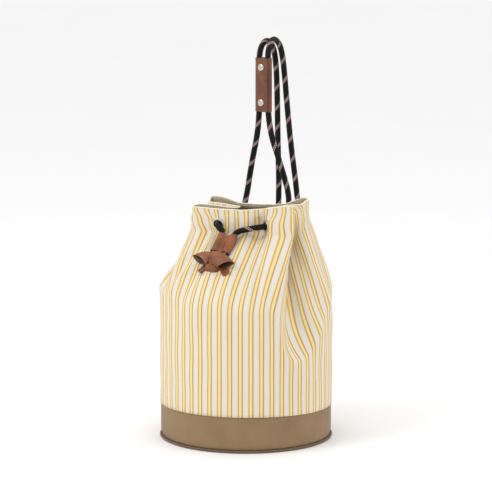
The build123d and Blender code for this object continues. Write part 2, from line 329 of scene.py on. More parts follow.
def leather_material(name, light, dark):
    material, start, surface = new_material(name, Coat_Roughness=0.35, Specular_IOR_Level=0.45)
    where = start.node("ShaderNodeTexCoord", {}, {}, output=3)
    clouds = start.noise(where, 55.0, 4.0, 0.6)
    pores = start.node(
        "ShaderNodeTexVoronoi", {"feature": "DISTANCE_TO_EDGE"}, {"Vector": where, "Scale": 1500.0}
    )
    streaks = start.noise(where, 260.0, 3.0, 0.6)
    colour = start.mix(clouds.smooth(0.3, 0.72), dark, light)
    colour = start.mix(streaks.smooth(0.55, 0.8) * 0.35, colour, dark)
    roughness = 0.36 + streaks * 0.22
    height = pores.smooth(0.0, 0.22) * 0.5 + streaks * 0.5
    finish_material(start, surface, colour, roughness, height, 0.28, 0.0004)
    coat = clouds * 0.12 + 0.10
    start.tree.links.new(coat.socket, surface.inputs["Coat Weight"])
    return material


def metal_material():
    material, start, surface = new_material("nickel_plate", Metallic=1.0)
    where = start.node("ShaderNodeTexCoord", {}, {}, output=3)
    wear = start.noise(where, 320.0, 4.0, 0.6)
    colour = start.mix(wear.smooth(0.45, 0.8), linear(200, 197, 188), linear(158, 154, 144))
    roughness = 0.14 + wear * 0.2
    finish_material(start, surface, colour, roughness, wear, 0.08, 0.0003)
    return material


def board_material():
    material, start, surface = new_material("base_board_fibre")
    where = start.node("ShaderNodeTexCoord", {}, {}, output=3)
    grain = start.noise(where, 240.0, 5.0, 0.7)
    colour = start.mix(grain, linear(112, 98, 80), linear(150, 134, 110))
    finish_material(start, surface, colour, 0.9, grain, 0.3, 0.0005)
    return material


def floor_material():
    material, start, surface = new_material("pale_floor")
    where = start.node("ShaderNodeTexCoord", {}, {}, output=3)
    cloud = start.noise(where, 2.0, 2.0)
    colour = start.mix(cloud, (0.93, 0.93, 0.93, 1.0), (0.96, 0.96, 0.96, 1.0))
    finish_material(start, surface, colour, 0.7)
    return material


braid = rope_material()
tan_leather = leather_material("lock_leather", linear(146, 80, 38), linear(100, 52, 22))
dark_leather = leather_material("wrap_leather", linear(114, 60, 28), linear(82, 42, 18))
suede = leather_material("leather_inside", linear(84, 48, 32), linear(54, 30, 20))
cut_edge = leather_material("leather_cut_edge", linear(92, 52, 34), linear(64, 34, 22))
nickel = metal_material()
fibreboard = board_material()
floor.data.materials.append(floor_material())
print("materials", len(bpy.data.materials))

# %% [markdown]
# ## Meshes from grids
# Cloth, rope and leather here are all grids of points bent into shape: rows run along the piece
# and columns across it. One helper turns such a grid into a mesh with its UV map in metres, and
# another hands the piece to its body and material.

# %% Grid helpers


def grid_piece(name, points, uv, around=False, keep=None, caps=False):
    """A mesh through rows of points in metres. Around joins each row's end to its start."""
    rows, columns = points.shape[:2]
    faces, loops = [], []
    for i in range(rows - 1):
        for j in range(columns if around else columns - 1):
            if keep is not None and not keep[i, j]:
                continue
            k = (j + 1) % columns
            low, high = i * columns, (i + 1) * columns
            faces.append((low + j, low + k, high + k, high + j))
            loops += [uv[i, j], uv[i, j + 1], uv[i + 1, j + 1], uv[i + 1, j]]
    if caps:
        faces.append(tuple(reversed(range(columns))))
        faces.append(tuple((rows - 1) * columns + j for j in range(columns)))
        loops += [uv[0, j] for j in reversed(range(columns))] + [uv[-1, j] for j in range(columns)]
    mesh = bpy.data.meshes.new(name)
    mesh.from_pydata(points.reshape(-1, 3).tolist(), [], faces)
    layer = mesh.uv_layers.new(name="cloth")
    layer.data.foreach_set("uv", np.array(loops, dtype=float).ravel())
    joined = bmesh.new()
    joined.from_mesh(mesh)
    bmesh.ops.remove_doubles(joined, verts=joined.verts, dist=1e-6)
    joined.to_mesh(mesh)
    joined.free()
    mesh.polygons.foreach_set("use_smooth", [True] * len(mesh.polygons))
    mesh.update()
    obj = bpy.data.objects.new(name, mesh)
    bpy.context.scene.collection.objects.link(obj)
    return obj


def thicken(obj, thickness, edge=0.0):
    """Gives a sheet its thickness inwards, and rounds its cut edges."""
    wall = obj.modifiers.new("thickness", "SOLIDIFY")
    wall.thickness = thickness
    wall.offset = -1.0
    if edge:
        bevel = obj.modifiers.new("cut edge", "BEVEL")
        bevel.width = edge
        bevel.segments = 2
        bevel.limit_method = "ANGLE"
        bevel.angle_limit = math.radians(50)


def give(obj, material, body="root"):
    """The piece's material and the body it rides on."""
    obj.data.materials.append(material)
    if body:
        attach(obj, body)


def uv_grid(across, along):
    """A UV map from one value for each column and one for each row."""
    return np.stack(np.broadcast_arrays(across[None, :], along[:, None]), -1)


def lengths_along(points, axis):
    """Running length through a grid along one of its directions."""
    steps = np.linalg.norm(np.diff(points, axis=axis), axis=-1)
    start = np.zeros_like(np.take(steps, [0], axis=axis))
    return np.cumsum(np.concatenate([start, steps], axis=axis), axis=axis)


# %% [markdown]
# ## Ropes
# Two ropes do everything here. Each starts in the bow, passes through the cord lock and a front
# eyelet, crosses the mouth, leaves by a rear eyelet, goes up through the leather wrap, over the
# hand or hook, and down behind the bag to the base. Their routes repeat the design model's points
# in metres, and a NURBS spline smooths them. The braid is real relief: a tube whose radius rises
# and falls where strands cross, so it still shows in a plain mesh.

# %% Rope routes
ROPE_DIAMETER = 8.4 * MM
ROPE_SIDES = 48
RING_STEP = 1.1 * MM
BRAID_STRANDS = 8
BRAID_RISE = 0.17 * MM

FRONT_LEFT = [
    (-35, -5, 297), (-35, -25, 297), (-22.24, -25.94, 287.95), (-23.77, -37.62, 277.57),
    (-26.75, -60.31, 257.41),
]
FRONT_RIGHT = [
    (38.1, -8.15, 297), (29.2, -24.8, 297), (11, -28.3, 293.4), (-5.33, -25.68, 288.19),
    (-7.02, -38.55, 276.75), (-10.03, -61.53, 256.32),
]
STRAP_LEFT = [
    (-35, -5, 297), (-35, 14, 297), (-33, 38, 297), (-33, 67, 297), (-32.5, 87, 320),
    (-20.5, 76, 372), (-6.2, 68.47, 426), (-6.2, 68.47, 504), (-6.2, 68.47, 531), (-5.5, 92, 544),
    (-4.2, 118, 533), (-4, 130, 503), (-5.2, 137.5, 449), (-8.2, 148, 386), (-11, 161, 328),
    (-16, 168, 262), (-21, 168, 192), (-26, 164, 122), (-30, 157, 72), (-34.1, 140.3, 35),
    (-25.9, 106.3, 35),
]
STRAP_RIGHT = [
    (38.1, -8.15, 297), (41.9, -1.04, 297), (33.3, 27, 297), (33, 67, 297), (33.5, 87, 320),
    (22.5, 75, 372), (8.2, 63.53, 426), (8.2, 63.53, 505), (8.2, 63.53, 533), (6, 88, 546.5),
    (7, 115, 536), (7.8, 128, 506), (9.3, 136.5, 451), (12, 147, 387), (15.5, 160, 328),
    (19, 167, 262), (21, 167, 192), (26, 163, 122), (30, 156.5, 72), (34.1, 140.3, 35),
    (25.9, 106.3, 35),
]


def spline_points(route):
    """Points along the smooth line of a route, in metres."""
    data = bpy.data.curves.new("route", "CURVE")
    data.dimensions = "3D"
    data.resolution_u = 24
    spline = data.splines.new("NURBS")
    spline.points.add(len(route) - 1)
    for point, place in zip(spline.points, route):
        point.co = (*(c * MM for c in place), 1.0)
    spline.order_u = 3
    spline.use_endpoint_u = True
    carrier = bpy.data.objects.new("route", data)
    bpy.context.scene.collection.objects.link(carrier)
    bpy.context.view_layer.update()
    line = bpy.data.meshes.new_from_object(carrier)
    points = np.array([v.co[:] for v in line.vertices])
    bpy.data.objects.remove(carrier)
    bpy.data.meshes.remove(line)
    return points


# %% Rope meshes


def evenly(points, step):
    """The same line with points at an even step."""
    along = lengths_along(points, 0)
    count = max(8, int(along[-1] / step))
    at = np.linspace(0, along[-1], count)
    return np.stack([np.interp(at, along, points[:, i]) for i in range(3)], 1), at


def frames_along(line):
    """Two directions across a line at each of its points, turned as little as possible."""
    ahead = np.gradient(line, axis=0)
    ahead /= np.linalg.norm(ahead, axis=1)[:, None]
    side = np.cross(ahead[0], (0.3, 0.2, 1.0))
    sides = []
    for direction in ahead:
        side = side - direction * side.dot(direction)
        side /= np.linalg.norm(side)
        sides.append(side)
    sides = np.array(sides)
    return sides, np.cross(ahead, sides)


def braided_tube(name, line, along):
    """A tube round a line, whose radius rises and falls where its strands cross."""
    across, up = frames_along(line)
    turns = np.arange(ROPE_SIDES + 1) / ROPE_SIDES
    angle = turns[None, :-1] * 2 * math.pi
    phase = along[:, None] * 2 * math.pi / BRAID_PITCH
    weave = np.cos(BRAID_STRANDS / 2 * angle + phase) * np.cos(BRAID_STRANDS / 2 * angle - phase)
    radius = (ROPE_DIAMETER / 2 - BRAID_RISE + BRAID_RISE * weave)[..., None]
    points = line[:, None] + radius * (
        np.cos(angle)[..., None] * across[:, None] + np.sin(angle)[..., None] * up[:, None]
    )
    return grid_piece(name, points, uv_grid(turns, along), around=True, caps=True)


def rope(name, route, body):
    """One rope along its route, with the points and the length of its line."""
    path = spline_points(route)
    line, along = evenly(path, RING_STEP)
    obj = braided_tube(name, line, along)
    give(obj, braid, body)
    print(name, "length", round(float(along[-1]), 4), "faces", len(obj.data.polygons))
    return obj, [tuple(p) for p in path], float(along[-1])


strap_left, strap_left_path, strap_left_length = rope("strap_rope_left", STRAP_LEFT, "root")
strap_right, strap_right_path, strap_right_length = rope("strap_rope_right", STRAP_RIGHT, "root")
front_left, front_left_path, front_left_length = rope("front_rope_left", FRONT_LEFT, None)
front_right, front_right_path, front_right_length = rope("front_rope_right", FRONT_RIGHT, None)
for obj in (front_left, front_right):
    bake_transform(obj)
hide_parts("rope_left")
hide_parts("rope_right")
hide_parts("cord_front_left")
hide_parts("cord_front_right")

# %% [markdown]
# ## Striped body
# The canvas is one piece of cloth, 75 cm round. Below the shoulder it is a plain cylinder. Above,
# it leans in to a narrow mouth, and all the spare cloth folds into a deep pleat at each side. The
# grid's columns are threads of the cloth: a table says where each of them goes at the level of the
# eyelets and at the top edge, and how low its shoulder starts, and smooth curves join them up.

# %% Where the threads go
CANVAS_RADIUS = 119.4
SEAM_HEIGHT = 47.6
COLUMNS = 380

# turn on the base, x and y at the eyelets, x and y at the top edge, heights of shoulder and top
THREADS = [
    (-180, -77, 30, -70, 36, 208, 321.4), (-170, -76, 24, -66, 29, 208, 319.6),
    (-162, -66, 16, -48, 22, 206, 319.6), (-155, -52, 11, -28, 15, 204, 319.0),
    (-150, -46, 8, -13, 11, 204, 317.8), (-145, -54, 5, -28, 7.5, 206, 317.0),
    (-140, -66, 1, -50, 4, 208, 319.4), (-134, -76, -3, -68, 0, 208, 320.2),
    (-129, -78.5, -10, -75, -8, 206, 319.4), (-124.5, -74, -15.5, -73.5, -16, 203, 318.5),
    (-119, -63, -17, -64, -17.5, 199, 318.5), (-112.5, -46, -17, -48, -17, 196, 317.8),
    (-106.8, -35, -17, -37, -16.5, 195, 317.4), (-101.9, -24, -17, -26, -16, 195, 317.3),
    (-95, -9.6, -17, -11.5, -15.3, 195, 317.3), (-88, 5, -17, 3, -15, 195, 317.6),
    (-82.5, 16, -14, 15, -15, 194, 318.8), (-75.8, 28.3, -7.3, 29, -15.4, 192, 320.4),
    (-71.2, 35, -14, 38, -16, 190, 321.9), (-66.7, 41.7, -20.7, 47.5, -17, 186, 324.0),
    (-59.8, 56, -21, 60.5, -17.6, 192, 326.3), (-54, 68, -19.5, 70.5, -15.6, 192, 326.4),
    (-50, 74, -12, 73.5, -8.5, 188, 325.6), (-46, 70.5, -4, 67, -1.5, 150, 323.7),
    (-42, 58, 2, 46, 5, 131, 320), (-38, 47, 7, 25, 10.5, 126, 317.8),
    (-32, 52, 11.5, 38, 14.5, 122, 319.5), (-22, 62, 15, 56, 18.5, 128, 322.8),
    (-8, 74, 19, 70, 22, 160, 323.4), (8, 81, 27, 77.5, 29, 190, 327.2),
    (20, 81, 34, 78, 38, 200, 329.6), (34, 75, 41, 71, 45.5, 204, 330),
    (50, 64, 45.5, 62, 47.5, 204, 328), (63.6, 55, 47, 54, 45.5, 203, 325),
    (69.4, 43, 47, 43, 41, 202, 321.3), (79, 23, 47, 22, 33, 200, 320.1),
    (90, 0, 47, 2, 29, 200, 320.7), (101, -23, 47, -18, 31, 200, 319.9),
    (110.6, -43, 47, -38, 40, 203, 322.7), (120, -56, 46.5, -53, 46.5, 205, 325),
    (135, -68, 44, -64, 47, 207, 325.2), (155, -76, 38, -71, 43, 208, 323.5),
]
# turn on the base and how far the threads are pulled round at the bend, in degrees
PULL = [
    (-180, 0), (-160, 2), (-145, 5), (-125, 5.5), (-114, 4), (-108, 1), (-104, 0), (-64, 0), (-56, 2.2),
    (-50, 2.4), (-44, 1.5), (-30, 0), (60, 0),
]
# turn on the base, height where the leaning cloth turns upright, roundness of its shoulder
BEND = [
    (-180, 286, 0.08), (-159, 286, 0.06), (-140, 286, 0.12), (-122, 286, 0.24), (-100, 286, 0.36),
    (-80, 286, 0.36), (-62, 286, 0.30), (-54, 285, 0.20), (-50, 284, 0.12), (-46, 274, 0.05),
    (-42, 259, 0.02), (-38, 250, 0.02), (-32, 251, 0.04), (-25, 262, 0.06), (-16, 280, 0.06),
    (-6, 291, 0.06), (8, 301, 0.08), (22, 303, 0.08), (34, 298, 0.1), (48, 290, 0.12), (60, 286, 0.2),
    (120, 286, 0.2), (160, 286, 0.1),
]


def through(keys, values, at):
    """A smooth periodic curve through values at turns of the base, without overshoot."""
    keys, values = np.array(keys, float), np.array(values, float)
    keys = np.concatenate([keys[-2:] - 360, keys, keys[:2] + 360])
    values = np.concatenate([values[-2:], values, values[:2]])
    gap = np.diff(keys)
    slope = np.diff(values) / gap
    tangent = np.zeros_like(values)
    inner = (slope[:-1] * gap[1:] + slope[1:] * gap[:-1]) / (gap[1:] + gap[:-1])
    limit = 2.2 * np.minimum(abs(slope[:-1]), abs(slope[1:]))
    tangent[1:-1] = np.where(slope[:-1] * slope[1:] > 0, np.clip(inner, -limit, limit), inner * 0.35)
    k = np.clip(np.searchsorted(keys, at) - 1, 1, len(keys) - 3)
    t = (at - keys[k]) / gap[k]
    a, b = values[k], values[k + 1]
    c, d = tangent[k] * gap[k], tangent[k + 1] * gap[k]
    return a + t * c + t * t * (3 * (b - a) - 2 * c - d) + t**3 * (2 * (a - b) + c + d)


def column(table, i, at):
    """A smooth curve through one column of a table whose first column is turns of the base."""
    return through([row[0] for row in table], [row[i] for row in table], at)


turns = np.linspace(-180, 180, COLUMNS, endpoint=False)
pull = column(PULL, 1, turns)
bend_x, bend_y = (column(THREADS, i, turns + pull) for i in (1, 2))
eyelet_x, eyelet_y = (column(THREADS, i, turns + 0.5 * pull) for i in (1, 2))
top_x, top_y, shoulder, top = (column(THREADS, i, turns) for i in range(3, 7))
bend, bulge = (column(BEND, i, turns) for i in (1, 2))
foot_x = CANVAS_RADIUS * np.cos(np.radians(turns))
foot_y = CANVAS_RADIUS * np.sin(np.radians(turns))
print("threads", COLUMNS, "over", round(2 * math.pi * CANVAS_RADIUS), "mm of cloth")

# %% Body surface
BODY_ROWS, LEAN_ROWS, COLLAR_ROWS = 26, 52, 24
COLLAR_TURN = 0.05
EYELET_LEVEL = 12
TOP_LEVELS = (302, 318)
TOP_REACH = 13


def smoothstep(low, high, value):
    t = np.clip((value - low) / (high - low), 0, 1)
    return t * t * (3 - 2 * t)


# turn on the base and how much higher the band's seam runs there, in mm
BAND_LIFT = [
    (-159, 0.7), (-120, 1.6), (-90, 2.2), (-60, 2.0), (-20, 0.0), (21, -1.2), (60, -0.6), (110, 0.4),
    (160, 0.0),
]
lift = column(BAND_LIFT, 1, turns)
seam = SEAM_HEIGHT + lift


def body_surface():
    """Rows of the cloth from the seam on the band to the top edge, in millimetres."""
    rows = []
    for t in np.linspace(0, 1, BODY_ROWS, endpoint=False):
        rows.append(np.stack([foot_x, foot_y, seam + (shoulder - seam) * t], 1))
    lean = bend - shoulder
    for t in np.linspace(0, 1, LEAN_ROWS, endpoint=False):
        a, b, c, d = (1 - t) ** 3, 3 * t * (1 - t) ** 2, 3 * t * t * (1 - t), t**3
        height = (a + b) * shoulder + b * bulge * lean + (c + d) * bend - c * COLLAR_TURN * lean
        rows.append(np.stack([
            (a + b) * foot_x + (c + d) * bend_x, (a + b) * foot_y + (c + d) * bend_y, height
        ], 1))
    for t in np.linspace(0, 1, COLLAR_ROWS):
        height = bend + (top - bend) * t
        low = np.clip((height - bend) / EYELET_LEVEL, 0, 1)
        first, last = np.maximum(TOP_LEVELS[0], bend), np.maximum(TOP_LEVELS[1], bend + TOP_REACH)
        high = smoothstep(first, last, height)
        x = bend_x + (eyelet_x - bend_x) * low
        y = bend_y + (eyelet_y - bend_y) * low
        rows.append(np.stack([x + (top_x - x) * high, y + (top_y - y) * high, height], 1))
    return np.array(rows)


def outwards(points):
    """Unit directions out of a closed grid of cloth."""
    across = np.roll(points, -1, 1) - np.roll(points, 1, 1)
    normal = np.cross(across, np.gradient(points, axis=0))
    return normal / np.linalg.norm(normal, axis=-1)[..., None]


# turns between which each side's spare cloth lies
SPARE = [(-50, 10), (148, 232)]
SPREAD_BY = 0.45
SOFTENING = 5


def spread_spare(points):
    """Spaces the threads of each side evenly above the shoulder, along the same outlines."""
    points = points.copy()
    degrees = 360 / COLUMNS
    for first, last in SPARE:
        span = np.arange(round((first + 180) / degrees), round((last + 180) / degrees) + 1) % COLUMNS
        for i in range(BODY_ROWS, len(points)):
            line = points[i, span]
            along = lengths_along(line, 0)
            even = np.linspace(0, along[-1], len(span))
            share = smoothstep(0, SPREAD_BY, (i - BODY_ROWS) / LEAN_ROWS)
            at = along + (even - along) * share
            points[i, span] = np.stack([np.interp(at, along, line[:, k]) for k in range(3)], 1)
    return points


def softened(points):
    """Rounds the crease where the leaning cloth turns upright."""
    points = points.copy()
    for _ in range(SOFTENING):
        part = points[BODY_ROWS - 3:]
        part[1:-1] += (part[:-2] + part[2:] - 2 * part[1:-1]) / 4
    return points


# %% [markdown]
# The gathered cloth isn't smooth: small folds run down from the eyelets and the pleats and die out
# on the round body, and the body itself is a little uneven. Each fold in the list has a turn, the
# drift of its foot, a width, a height, and the rows where it starts and ends.

# %% Folds
# turn, drift towards the foot, half width in degrees, depth in mm, lowest and highest height
FOLDS = [
    (-107, -14, 4.0, -2.2, 150, 292), (-99, -6, 3.2, 1.6, 140, 290), (-112, -22, 3.4, 1.6, 170, 291),
    (-94, 1, 3.0, -1.4, 175, 290), (-86, 4, 3.4, 1.5, 120, 290), (-79, 4, 3.2, -2.0, 165, 292),
    (-74, 8, 2.8, 1.6, 150, 286), (-69, 9, 3.4, -2.4, 150, 294), (-63, 9, 3.0, 1.8, 120, 284),
    (-57, 6, 3.0, -1.4, 110, 270), (-118, -20, 3.4, -1.8, 180, 288), (-124, -22, 3.0, 1.8, 170, 280),
    (-131, -14, 4.0, -2.4, 180, 285), (-141, -8, 5.0, 2.4, 165, 280), (-152, -6, 5.0, -2.8, 170, 285),
    (-165, 2, 5.0, 2.6, 165, 285), (-176, 2, 5.0, -2.2, 160, 285), (172, 6, 5.0, 2.4, 160, 285),
    (160, 6, 5.0, -2.6, 160, 288), (149, 6, 4.6, 2.2, 150, 288), (139, 4, 4.2, -2.2, 160, 288),
    (127, 6, 4.2, 2.2, 150, 288), (117, 4, 3.4, -2.4, 140, 292), (108, 3, 3.2, 1.8, 150, 290),
    (98, 2, 4.0, -2.0, 150, 290), (88, -2, 4.0, 2.0, 140, 290), (79, -3, 3.6, -2.0, 150, 290),
    (70, -5, 3.2, 2.2, 140, 292), (61, -6, 4.0, -2.6, 150, 290), (50, -4, 4.4, 2.4, 160, 288),
    (38, 2, 5.0, -2.4, 165, 288), (25, 5, 5.0, 2.2, 160, 285), (11, 8, 4.6, -2.4, 150, 285),
    (0, 10, 4.0, 2.0, 140, 280), (-10, 12, 4.0, -2.2, 130, 275), (-20, 12, 3.6, 1.8, 110, 270),
    (-29, 10, 3.4, -2.0, 100, 265), (-38, 4, 3.0, 1.6, 100, 270),
]
MOUTH_EYELETS = ("front_left", "front_right", "rear_left", "rear_right")
BASE_EYELETS = ("base_left", "base_right")
FLAT_ROUND_EYELET = (10, 24)
CANVAS_HOLE, LINING_HOLE, BAND_HOLE = 7.4, 7.8, 7.2
CANVAS_THICKNESS, LINING_THICKNESS, BAND_THICKNESS, PANEL_THICKNESS = 1.2, 0.5, 1.4, 0.9


def eyelet_middle(name):
    """The middle of one of the design model's eyelets, in millimetres."""
    low, high = (np.array(corner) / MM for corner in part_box("eyelet_" + name))
    return (low + high) / 2


def folded(points):
    """The cloth with its small folds and its slight unevenness."""
    height = points[..., 2]
    push = np.zeros_like(height)
    for turn, drift, half, depth, low, high in FOLDS:
        middle = turn + drift * (1 - smoothstep(low, high, height))
        apart = (turns[None, :] - middle + 180) % 360 - 180
        window = smoothstep(low, low + 60, height) * (1 - smoothstep(high, high + 22, height))
        push += depth * np.exp(-((apart / half) ** 2)) * window
    wave = np.radians(turns)[None, :]
    calm = smoothstep(SEAM_HEIGHT, SEAM_HEIGHT + 40, height)
    push += calm * 0.8 * np.sin(7 * wave + height / 31) * np.sin(height / 23 + 2 * wave)
    push += calm * 0.35 * np.sin(17 * wave - height / 19 + 1.3) * np.cos(height / 17)
    ruffle = smoothstep(300, 318, height)
    push += ruffle * 0.5 * np.sin(23 * wave + 0.7)
    near = np.ones_like(push)
    for name in MOUTH_EYELETS:
        near *= smoothstep(*FLAT_ROUND_EYELET, np.linalg.norm(points - eyelet_middle(name), axis=-1))
    return points + outwards(points) * (push * near)[..., None]


def eyelet_holes(points, names, reach):
    """Which faces of a grid of cloth stay, away from the eyelets' holes."""
    after = np.roll(points, -1, 1)
    centres = (points[:-1] + points[1:] + after[:-1] + after[1:]) / 4
    keep = np.ones(centres.shape[:2], bool)
    for name in names:
        keep &= np.linalg.norm(centres - eyelet_middle(name), axis=-1) > reach
    return keep


surface = folded(softened(spread_spare(body_surface())))
arc = np.radians(turns + 180) * CANVAS_RADIUS
cloth_u = np.append(arc, 2 * math.pi * CANVAS_RADIUS) * MM
height_v = lengths_along(surface, 0).mean(axis=1) * MM
canvas = grid_piece(
    "striped_body", surface * MM, uv_grid(cloth_u, height_v), around=True,
    keep=eyelet_holes(surface, MOUTH_EYELETS, CANVAS_HOLE),
)
thicken(canvas, CANVAS_THICKNESS * MM)
give(canvas, striped)
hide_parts("outer_canvas")
print("striped body", len(canvas.data.polygons), "faces, cloth height", round(float(height_v[-1]), 3))

# %% [markdown]
# ## Lining and mouth edge
# The lining is a second bag inside the first, a little smaller, of plain greige canvas with a round
# floor. It is the same grid moved inwards. The mouth's edge is a narrow turned hem that covers both
# cut edges, so it is a thin roll along the top row.

# %% Lining
LINING_GAP = 1.75
LINING_RADIUS = 116.2
LINING_FLOOR = 4.4


def lining_surface():
    inner = surface - outwards(surface) * LINING_GAP
    inner = inner[:-1]
    flat = np.hypot(foot_x, foot_y)
    rows = []
    for share in (0.0, 0.25, 0.5, 0.72, 0.9, 0.985):
        ring = share * LINING_RADIUS / flat
        rows.append(np.stack([foot_x * ring, foot_y * ring, np.full(COLUMNS, LINING_FLOOR)], 1))
    for height in np.linspace(LINING_FLOOR + 1.5, SEAM_HEIGHT - 2, 10):
        ring = LINING_RADIUS / flat
        rows.append(np.stack([foot_x * ring, foot_y * ring, np.full(COLUMNS, height)], 1))
    return np.concatenate([np.array(rows), inner[2:]])


inner = lining_surface()
lining_v = lengths_along(inner, 0).mean(axis=1) * MM
lining = grid_piece(
    "lining_cloth", inner * MM, uv_grid(cloth_u, lining_v), around=True,
    keep=eyelet_holes(inner, MOUTH_EYELETS + BASE_EYELETS, LINING_HOLE),
)
thicken(lining, LINING_THICKNESS * MM)
give(lining, greige)
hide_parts("lining", "lining_floor")

# %% Mouth edge
EDGE_SIDES = 10
EDGE_HALF_WIDTH = 1.25
EDGE_HALF_HEIGHT = 0.85
EDGE_GIRTH = 8
EDGE_INSET = 0.85

rim = surface[-1] - outwards(surface)[-1] * EDGE_INSET
ahead = np.roll(rim, -1, 0) - np.roll(rim, 1, 0)
ahead /= np.linalg.norm(ahead, axis=1)[:, None]
sideways = np.cross(ahead, (0, 0, 1))
sideways /= np.linalg.norm(sideways, axis=1)[:, None]
roll = np.linspace(0, 2 * math.pi, EDGE_SIDES, endpoint=False)
edge = np.array([
    rim + sideways * EDGE_HALF_WIDTH * math.cos(a) + np.array((0, 0, EDGE_HALF_HEIGHT * math.sin(a)))
    for a in roll
])
edge = np.concatenate([edge, edge[:1]]).transpose(1, 0, 2)
edge = np.concatenate([edge, edge[:1]])
edge_uv = uv_grid(np.linspace(0, EDGE_GIRTH, EDGE_SIDES + 1) * MM, cloth_u)
mouth_edge = grid_piece("mouth_edge", edge * MM, edge_uv)
give(mouth_edge, cream)
print("mouth edge", len(mouth_edge.data.polygons), "faces")

# %% [markdown]
# ## Base
# A band of khaki canvas stands round the foot, a round panel closes it below, and a dark piping
# covers their seam. The band is one strip, drawn a little uneven where the striped cloth is sewn to
# it. A stiff board inside keeps the base flat, and stays as the design model made it.

# %% Band
BAND_RADIUS = 118.4
BAND_BOTTOM = 3.4
BAND_ROWS = 26
BAND_TOP = 48.2

rows = []
wave = np.radians(turns)
for t in np.linspace(0, 1, BAND_ROWS):
    height = BAND_BOTTOM + (BAND_TOP + lift - BAND_BOTTOM) * t
    pucker = 0.25 * np.sin(41 * wave + 0.6) * (1 - t) ** 2 + 0.45 * np.sin(6 * wave + 4 * t) * t * (1 - t)
    tuck = -2.0 * (1 - t) ** 10 - 0.9 * max(0.0, t - 0.965) / 0.035
    radius = BAND_RADIUS + pucker + tuck
    rows.append(np.stack([radius * np.cos(wave), radius * np.sin(wave), height], 1))
band_points = np.array(rows)
band_v = lengths_along(band_points, 0).mean(axis=1) * MM
band = grid_piece(
    "base_band_cloth", band_points * MM, uv_grid(cloth_u, band_v), around=True,
    keep=eyelet_holes(band_points, BASE_EYELETS, BAND_HOLE),
)
thicken(band, BAND_THICKNESS * MM)
give(band, khaki)
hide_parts("base_band")

# %% Base panel
PANEL_RADIUS = 116.6
PANEL_HEIGHT = 0.3
PANEL_RIM_RISE = 0.9

rows = []
for share in (0.0, 0.2, 0.4, 0.6, 0.8, 0.93, 1.0):
    rise = PANEL_RIM_RISE * share * share if share > 0.9 else 0.0
    rows.append(np.stack([
        PANEL_RADIUS * share * np.cos(np.radians(turns)), PANEL_RADIUS * share * np.sin(np.radians(turns)),
        np.full(COLUMNS, PANEL_HEIGHT + rise),
    ], 1))
panel_points = np.array(rows)
panel_uv = np.concatenate([panel_points[..., :2], panel_points[:, :1, :2]], 1) * MM
panel = grid_piece("base_panel_cloth", panel_points[::-1] * MM, panel_uv[::-1], around=True)
thicken(panel, PANEL_THICKNESS * MM)
give(panel, khaki)
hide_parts("base_panel")

# %% Piping
PIPING_SIDES = 12
PIPING_RING = 118.2
PIPING_RADIUS = 1.7
PIPING_HEIGHT = 1.9
PIPING_GIRTH = 11
PUCKERS = 90

roll = np.linspace(0, 2 * math.pi, PIPING_SIDES, endpoint=False)
rows = []
for a in np.radians(turns):
    swell = PIPING_RADIUS + 0.08 * math.sin(PUCKERS * a)
    reach = PIPING_RING + swell * np.cos(roll)
    height = PIPING_HEIGHT + swell * np.sin(roll)
    rows.append(np.stack([reach * math.cos(a), reach * math.sin(a), height], 1))
piping_points = np.array(rows)
piping_points = np.concatenate([piping_points, piping_points[:1]])
piping_uv = uv_grid(np.linspace(0, PIPING_GIRTH, PIPING_SIDES + 1) * MM, cloth_u)
piping = grid_piece("bottom_piping_cloth", piping_points * MM, piping_uv, around=True)
give(piping, brown_edge)
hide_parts("bottom_piping")
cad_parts["base_board"].data.materials.clear()
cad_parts["base_board"].data.materials.append(fibreboard)
print("band", len(band.data.polygons), "faces")

# %% [markdown]
# ## Cord lock
# The lock is one strip of leather rolled round both ropes, with a valley between the two rolls. Its
# outline across the ropes is a figure of eight, so one grid follows that outline and runs along the
# ropes. Solidify gives the leather its thickness, with a darker material on the inside and on the
# cut edges. The lock and the bow lean on the bag, so they are drawn in their own directions.

# %% Directions of the lock
TOGGLE_MIDDLE = np.array((-16.0, -42.6958, 273.065))
FRONT_SHOULDER, FRONT_BEND, FRONT_MOUTH = 195.0, 286.0, 17.0
LOCK_TURN = math.radians(5.6)
LOCK_LEAN = math.atan2(FRONT_BEND - FRONT_SHOULDER, CANVAS_RADIUS - FRONT_MOUTH)
flat_across = np.array((1.0, 0.0, 0.0))
up_the_slope = np.array((0.0, math.cos(LOCK_LEAN), math.sin(LOCK_LEAN)))
out_of_slope = np.array((0.0, -math.sin(LOCK_LEAN), math.cos(LOCK_LEAN)))
TOGGLE_AXES = np.array((
    math.cos(LOCK_TURN) * flat_across - math.sin(LOCK_TURN) * up_the_slope,
    math.sin(LOCK_TURN) * flat_across + math.cos(LOCK_TURN) * up_the_slope,
    out_of_slope,
))


def on_toggle(points):
    """Points across, up and out of the lock, in millimetres, as places on the bag."""
    return TOGGLE_MIDDLE + np.asarray(points, float) @ TOGGLE_AXES


def smooth_line(points, count, closed=False):
    """A smooth line with an even number of points through hand-placed ones."""
    points = np.array(points, float)
    ends = (points[-1:], points[:2]) if closed else (
        2 * points[:1] - points[1:2], 2 * points[-1:] - points[-2:-1])
    padded = np.concatenate([ends[0], points, ends[1]])
    spans = len(padded) - 3
    at = np.linspace(0, spans, count, endpoint=not closed)
    k = np.minimum(at.astype(int), spans - 1)
    t = (at - k).reshape((-1,) + (1,) * (points.ndim - 1))
    a, b, c, d = padded[k], padded[k + 1], padded[k + 2], padded[k + 3]
    square, cube = 2 * a - 5 * b + 4 * c - d, 3 * b - a - 3 * c + d
    return 0.5 * (2 * b + (c - a) * t + square * t**2 + cube * t**3)


